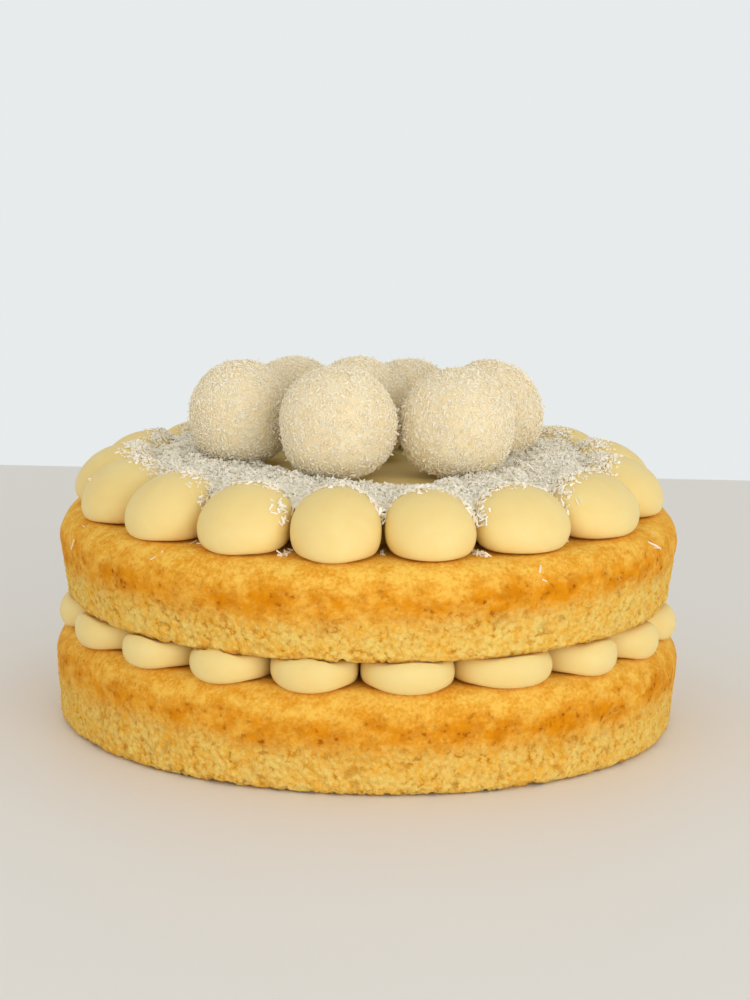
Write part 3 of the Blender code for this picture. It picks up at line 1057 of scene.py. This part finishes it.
@dataclass
class CoconutHeap:
    """The coconut strewn between the balls and over the rounds' inner sides."""

    banks: tuple[Bank, ...]
    spills: tuple[Spill, ...]
    balls: list[CoconutBall]
    lean: Lean
    base: float
    crest: float = 0.0034
    sunk: float = 0.0012
    steps: int = 300
    count: int = 24000
    drop_from: float = 0.0960
    clump_size: float = 0.0065
    inner: RoundTable = field(init=False)
    outer: RoundTable = field(init=False)
    thickness: RoundTable = field(init=False)

    def __post_init__(self) -> None:
        """Spread the banks' measures round the cake."""
        turns = [bank.angle for bank in self.banks]
        self.inner = RoundTable(turns, [bank.inner for bank in self.banks])
        self.outer = RoundTable(turns, [bank.outer for bank in self.banks])
        self.thickness = RoundTable(turns, [bank.thickness for bank in self.banks])

    def _clump(self, x: float, y: float) -> float:
        """How heaped the coconut is at a place, from 0 to 1."""
        return smooth_step(noise.noise(Vector((x, y, 0.0)) / self.clump_size), -0.45, 0.40)

    def build_core(self, material: bpy.types.Material) -> bpy.types.Object:
        """Build the heap's core, a little lower than its outline."""
        bm = bmesh.new()
        arc = np.linspace(0.0, math.pi, 36)
        verts = [bm.verts.new((-math.cos(t), 0.0, math.sin(t))) for t in arc]
        edges = [bm.edges.new(pair) for pair in zip(verts, verts[1:] + verts[:1])]
        bmesh.ops.translate(bm, vec=(2.0, 0.0, 0.0), verts=bm.verts[:])
        bmesh.ops.spin(
            bm,
            geom=verts + edges,
            cent=(0.0, 0.0, 0.0),
            axis=(0.0, 0.0, 1.0),
            angle=math.tau,
            steps=self.steps,
            use_merge=True,
        )
        bmesh.ops.recalc_face_normals(bm, faces=bm.faces[:])
        tint = bm.verts.layers.float.new("tint")
        for vert in bm.verts:
            angle = angle_of(vert.co.x, vert.co.y)
            inner, outer = self.inner.at(angle), self.outer.at(angle)
            across = (math.hypot(vert.co.x, vert.co.y) - 1) / 2
            share = vert.co.z
            place = polar(inner + (outer - inner) * across, angle, 0.0)
            clump = self._clump(place.x, place.y)
            grain = noise.fractal(place / 0.0026, 0.7, 2.1, 3)
            place.z = self.base - self.sunk
            place.z += share * self.thickness.at(angle) * self.crest * (0.5 + 0.7 * clump + 0.3 * grain)
            vert.co = place
            vert[tint] = 0.5 - 0.3 * clump
        self.lean.tip(bm)
        for vert in bm.verts:
            ceiling = min(ball.floor_at(vert.co.x, vert.co.y) for ball in self.balls)
            vert.co.z = min(vert.co.z, ceiling - 0.3 * MM)
        return finished("coconut_ring_core", bm, material, ["coconut_ring"])

    def _drop(self, shreds: Shreds, ground: Ground, x: float, y: float, length: float, lift: float) -> None:
        """Let one shred fall at a place.

        Args:
            shreds: The lot that takes it.
            ground: What it lands on.
            x: Where, across.
            y: Where, back.
            length: Its usual length.
            lift: How far others below hold it up.
        """
        landing = ground.below(Vector((x, y, self.drop_from)))
        if landing is None or landing[1].z < 0.15:
            return
        place = landing[0] + landing[1] * (0.15 * MM + lift)
        if any(ball.floor_at(x, y) < place.z for ball in self.balls):
            return
        chance = shreds.chance
        size = (
            chance.uniform(0.5, 1.1) * MM,
            chance.uniform(0.3, 0.5) * MM,
            length * chance.uniform(0.5, 1.4),
        )
        shreds.lay(place, landing[1], 50 if lift > 0.4 * MM else 16, size)

    def scatter(self, shreds: Shreds, ground: Ground) -> None:
        """Strew the banks and the spills.

        Args:
            shreds: The lot that takes the shreds.
            ground: What they land on.
        """
        chance = shreds.chance
        least = min(self.inner.values) - 0.003
        most = max(self.outer.values) + 0.006
        while len(shreds) < self.count:
            angle = chance.uniform(-180, 180)
            radius = math.sqrt(chance.uniform(least**2, most**2))
            inner, outer = self.inner.at(angle), self.outer.at(angle)
            place = polar(radius, angle, 0.0)
            edge = smooth_step(radius, inner - 0.003, inner + 0.003)
            edge *= 1 - smooth_step(radius, outer - 0.003, outer + 0.005)
            clump = self._clump(place.x, place.y)
            if chance.random() > edge * self.thickness.at(angle) * (0.4 + 0.6 * clump):
                continue
            lift = chance.uniform(0, 1.2) * edge * (0.3 + 0.7 * clump) * MM
            self._drop(shreds, ground, place.x, place.y, 1.2 * MM, lift)
        for spill in self.spills:
            middle = polar(spill.radius, spill.angle, 0.0)
            for _ in range(spill.count):
                x = chance.gauss(middle.x, spill.spread)
                y = chance.gauss(middle.y, spill.spread)
                self._drop(shreds, ground, x, y, spill.length, chance.uniform(0, 0.8) * MM)


# ---------------------------------------------------------------------------------------------
# Studio
# ---------------------------------------------------------------------------------------------


@dataclass(frozen=True)
class Studio:
    """The pale floor, the soft light and the camera."""

    floor_color: str = "#F3F0EA"
    backdrop: str = "#E7EBEC"
    floor_half: float = 0.49
    sky_light: float = 0.70
    eye: tuple[float, float, float] = (0.0, -0.69434, 0.18654)
    pitch: float = 9.67
    yaw: float = 0.13
    roll: float = 1.22
    lens: float = 79.2

    def build_floor(self) -> None:
        """Lay the floor that the cake stands on."""
        bm = bmesh.new()
        bmesh.ops.create_grid(bm, x_segments=1, y_segments=1, size=self.floor_half)
        mesh = bpy.data.meshes.new("floor")
        bm.to_mesh(mesh)
        bm.free()
        material, tree = new_material("matt pale stone")
        place = add_node(tree, "TexCoord", {}).outputs["Object"]
        cloud = add_node(tree, "TexNoise", {}, {"Vector": place, "Scale": 9.0, "Detail": 4.0}).outputs["Fac"]
        rough = add_node(tree, "MapRange", {}, {0: cloud, 3: 0.5, 4: 0.7}).outputs[0]
        shader = add_node(
            tree, "BsdfPrincipled", {}, {"Base Color": linear(self.floor_color), "Roughness": rough}
        )
        add_node(tree, "OutputMaterial", {}, {"Surface": shader.outputs[0]})
        mesh.materials.append(material)
        floor = bpy.data.objects.new("floor", mesh)
        floor.location.z = -0.0002
        bpy.context.scene.collection.objects.link(floor)

    def build_world(self) -> None:
        """Set the pale backdrop, and dimmer soft light from all round."""
        world = bpy.data.worlds.new("studio")
        world.use_nodes = True
        tree = world.node_tree
        tree.nodes.clear()
        seen = add_node(tree, "Background", {}, {"Color": linear(self.backdrop), "Strength": 1.0})
        light = add_node(
            tree, "Background", {}, {"Color": (0.985, 0.985, 0.965, 1.0), "Strength": self.sky_light}
        )
        ray = add_node(tree, "LightPath", {}).outputs["Is Camera Ray"]
        mixed = add_node(tree, "MixShader", {}, {0: ray, 1: light.outputs[0], 2: seen.outputs[0]})
        add_node(tree, "OutputWorld", {}, {"Surface": mixed.outputs[0]})
        bpy.context.scene.world = world

    def add_lamp(
        self, name: str, azimuth: float, rise: float, away: float, size: float, power: float
    ) -> None:
        """Hang one soft lamp that faces the cake.

        Args:
            name: The lamp's name.
            azimuth: Degrees from the front towards +X.
            rise: Degrees above the floor.
            away: Its distance from the cake.
            size: The length of its side.
            power: Its power in watts.
        """
        lamp = bpy.data.lights.new(name, "AREA")
        lamp.shape = "SQUARE"
        lamp.size = size
        lamp.energy = power
        obj = bpy.data.objects.new(name, lamp)
        aim = Vector((0.0, 0.0, 0.05))
        turn = math.radians(rise)
        obj.location = aim + polar(away * math.cos(turn), azimuth, away * math.sin(turn))
        obj.rotation_euler = (aim - obj.location).to_track_quat("-Z", "Y").to_euler()
        bpy.context.scene.collection.objects.link(obj)

    def build_camera(self) -> None:
        """Set the camera where the cake is seen from the front, a little above."""
        pitch, yaw, roll = (math.radians(a) for a in (self.pitch, self.yaw, self.roll))
        level = math.cos(pitch)
        forward = Vector((math.sin(yaw) * level, math.cos(yaw) * level, -math.sin(pitch)))
        right = Vector((math.cos(yaw), -math.sin(yaw), 0.0))
        up = right.cross(forward)
        across = right * math.cos(roll) + up * math.sin(roll)
        above = up * math.cos(roll) - right * math.sin(roll)
        data = bpy.data.cameras.new("camera")
        data.lens = self.lens
        data.sensor_width = 36.0
        camera = bpy.data.objects.new("camera", data)
        turn = Matrix((across, above, -forward)).transposed().to_4x4()
        camera.matrix_world = Matrix.Translation(self.eye) @ turn
        bpy.context.scene.collection.objects.link(camera)
        bpy.context.scene.camera = camera

    def build(self) -> None:
        """Build the whole studio."""
        bpy.context.scene.view_settings.view_transform = "Standard"
        self.build_floor()
        self.build_world()
        self.add_lamp("key", 28, 4, 1.5, 1.1, 10.6)
        self.add_lamp("fill", -30, 4, 1.6, 1.4, 3.4)
        self.build_camera()


# ---------------------------------------------------------------------------------------------
# The cake
# ---------------------------------------------------------------------------------------------


def dress_hidden(node: str, material: bpy.types.Material) -> None:
    """Give a CAD node that keeps its own shape its finish.

    Args:
        node: The node's name.
        material: Its finish.
    """
    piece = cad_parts[node]
    piece.data.materials.clear()
    piece.data.materials.append(material)


def main() -> None:
    """Build the cake's pieces in order, then the studio round it."""
    logging.basicConfig(level=logging.INFO, format="%(message)s")
    sponge = BakedSponge().material()
    frosting = ButterFrosting().material()
    shredded = DesiccatedCoconut("desiccated coconut", "#FFFDF4", "#FFF7E4", 0.0, 1.0).material()
    packed = DesiccatedCoconut("packed desiccated coconut", "#FFFDF5", "#FFF8E8", 0.0, 1.0).material()
    rolled = DesiccatedCoconut("coconut pressed on sweet paste", "#FFFAEA", "#FDF0D0", 0.0, 0.6).material()
    paste = DesiccatedCoconut("sweet coconut paste", "#F9EBC9", "#F2DDB0", 0.4).material()

    lower = Sponge(
        node="sponge_lower",
        foot_radius=0.0986,
        seed=0.31,
        browning=(
            Stretch(-60, 20.5 * MM, 0.8),
            Stretch(-20, 19.5 * MM, 0.9),
            Stretch(0, 18.8 * MM, 0.95),
            Stretch(25, 18.8 * MM, 0.95),
            Stretch(60, 20.5 * MM, 0.9),
            Stretch(180, 19.5 * MM, 0.8),
        ),
    )
    lean = Lean(forward=1.3, left=0.5, pivot=0.0397)
    upper = Sponge(
        node="sponge_upper",
        foot_radius=0.0962,
        seed=0.87,
        lean=lean,
        browning=(
            Stretch(-70, 17.5 * MM, 0.8),
            Stretch(-30, 17.0 * MM, 0.9),
            Stretch(-8, 17.2 * MM, 0.7),
            Stretch(5, 17.5 * MM, 0.8),
            Stretch(30, 18.6 * MM, 1.0),
            Stretch(60, 20.0 * MM, 1.0),
            Stretch(180, 18.5 * MM, 0.8),
        ),
    )
    lower.build(sponge)
    top = upper.build(sponge)

    dress_hidden("filling_frosting", frosting)
    PipedRing(
        prefix="filling_round",
        count=20,
        circle_radius=0.0835,
        reach=0.0155,
        middle=lower.top + 0.0038,
        rise=0.0093,
        plumpness=2.15,
        floor=lower.top_at,
        ceiling=upper.underside_at,
        inner_radius=0.0733,
        overlap=1.07,
    ).build(frosting)
    rounds = PipedRing(
        prefix="top_round",
        count=17,
        circle_radius=0.0803,
        reach=0.0127,
        middle=upper.top + 0.0068,
        rise=0.0107,
        overlap=1.04,
        droop=0.3,
        floor=upper.top_at,
        inner_radius=0.0683,
        lean=lean,
    ).build(frosting)
    spread = SpreadFrosting(lean)
    dish = spread.build(frosting)

    balls = [CoconutBall(node) for node in sorted(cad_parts) if node.startswith("ball_")]
    coat = Shreds(sides=3, taper=0.0, seed=5)
    for ball in balls:
        ball.build_core(paste)
        ball.coat_with(coat, spread.top - 0.002)
    placed("ball_coconut", coat.mesh("ball_coconut", CAD_BOX[1].z), rolled, (), False)

    heap = CoconutHeap(
        banks=(
            Bank(-90, 0.036, 0.076, 1.0),
            Bank(-60, 0.034, 0.077, 1.0),
            Bank(-30, 0.033, 0.077, 1.0),
            Bank(-14, 0.042, 0.075, 0.9),
            Bank(12, 0.046, 0.076, 0.9),
            Bank(28, 0.044, 0.078, 1.0),
            Bank(60, 0.034, 0.077, 1.0),
            Bank(90, 0.038, 0.075, 1.0),
            Bank(180, 0.040, 0.075, 0.9),
        ),
        spills=(
            Spill(2.0, 0.080, 0.0014, 30),
            Spill(21, 0.083, 0.0020, 90),
            Spill(-17, 0.084, 0.0016, 30),
            Spill(-36, 0.082, 0.0016, 30),
            Spill(44, 0.081, 0.0020, 40),
            Spill(-66, 0.095, 0.0022, 4, 2.8 * MM),
            Spill(-40, 0.096, 0.0016, 4, 2.8 * MM),
            Spill(62, 0.095, 0.0020, 4, 2.8 * MM),
            Spill(30, 0.096, 0.0020, 2, 2.4 * MM),
        ),
        balls=balls,
        lean=lean,
        base=spread.top,
    )
    core = heap.build_core(packed)
    loose = Shreds(sides=3, taper=0.7, seed=8)
    heap.scatter(loose, Ground([top, dish, core, *rounds]))
    placed("strewn_coconut", loose.mesh("strewn_coconut", CAD_BOX[1].z), shredded, (), False)

    Studio().build()


if __name__ == "__main__":
    main()
